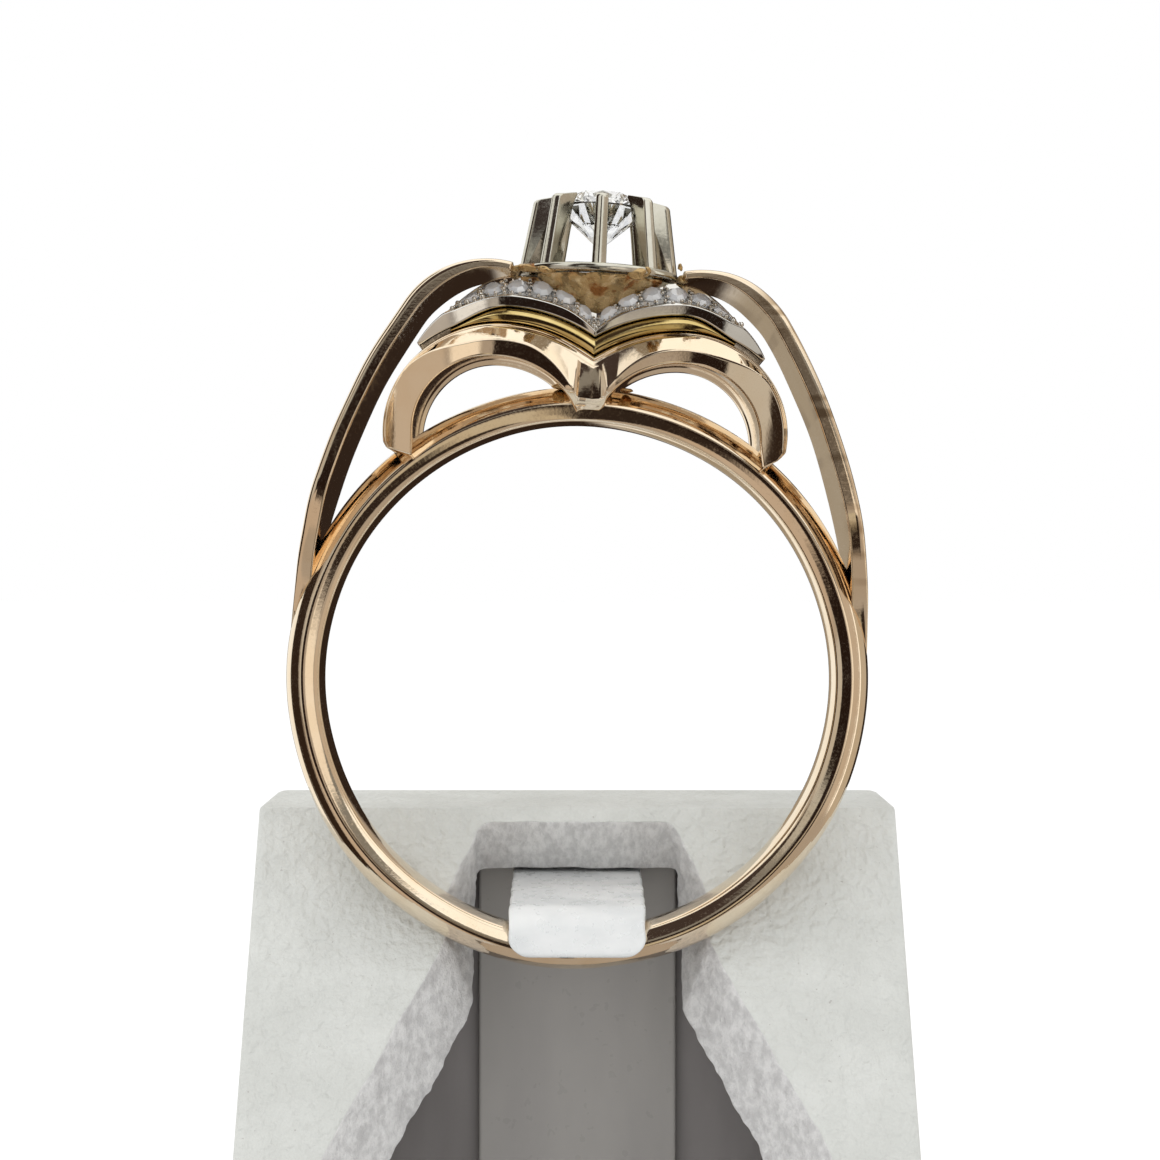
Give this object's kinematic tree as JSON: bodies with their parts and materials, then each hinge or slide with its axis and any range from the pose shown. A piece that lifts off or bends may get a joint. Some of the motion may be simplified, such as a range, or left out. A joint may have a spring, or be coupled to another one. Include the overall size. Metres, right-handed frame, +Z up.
{
  "type": "gemstone ring on display stand",
  "caption": "Gemstone ring with a pronged centre stone over pave-set arched wings, held upright in the slot of a small wedge display stand.",
  "frame": {"origin": "middle of the stand's base, on the floor", "axes": "+Z up, the finger hole runs along Y, -Y is the front with the stand's sloping panel"},
  "size_m": [0.023, 0.0176, 0.043],
  "materials": {
    "rose_gold": "polished",
    "yellow_gold": "polished",
    "white_gold": "polished",
    "collet_white_gold": "satin",
    "diamond": "polished",
    "small_diamond": "polished",
    "stand_white": "fine leather grain",
    "clear_plastic": "frosted"
  },
  "bodies": {
    "root": {"ring_frame": "rose_gold", "gallery": "yellow_gold", "wings": "white_gold", "collet": "collet_white_gold", "centre_diamond": "diamond", "stand": "stand_white", "clip": "clear_plastic", "wing_diamond_1": "small_diamond", "wing_diamond_2": "small_diamond", "wing_diamond_3": "small_diamond", "wing_diamond_4": "small_diamond", "wing_diamond_5": "small_diamond", "wing_diamond_6": "small_diamond", "wing_diamond_7": "small_diamond", "wing_diamond_8": "small_diamond", "wing_diamond_9": "small_diamond", "wing_diamond_10": "small_diamond", "wing_diamond_11": "small_diamond", "wing_diamond_12": "small_diamond", "wing_diamond_13": "small_diamond", "wing_diamond_14": "small_diamond", "wing_diamond_15": "small_diamond", "wing_diamond_16": "small_diamond", "wing_diamond_17": "small_diamond", "wing_diamond_18": "small_diamond", "wing_diamond_19": "small_diamond", "wing_diamond_20": "small_diamond", "wing_diamond_21": "small_diamond", "wing_diamond_22": "small_diamond", "wing_diamond_23": "small_diamond", "wing_diamond_24": "small_diamond"}
  },
  "joints": []
}
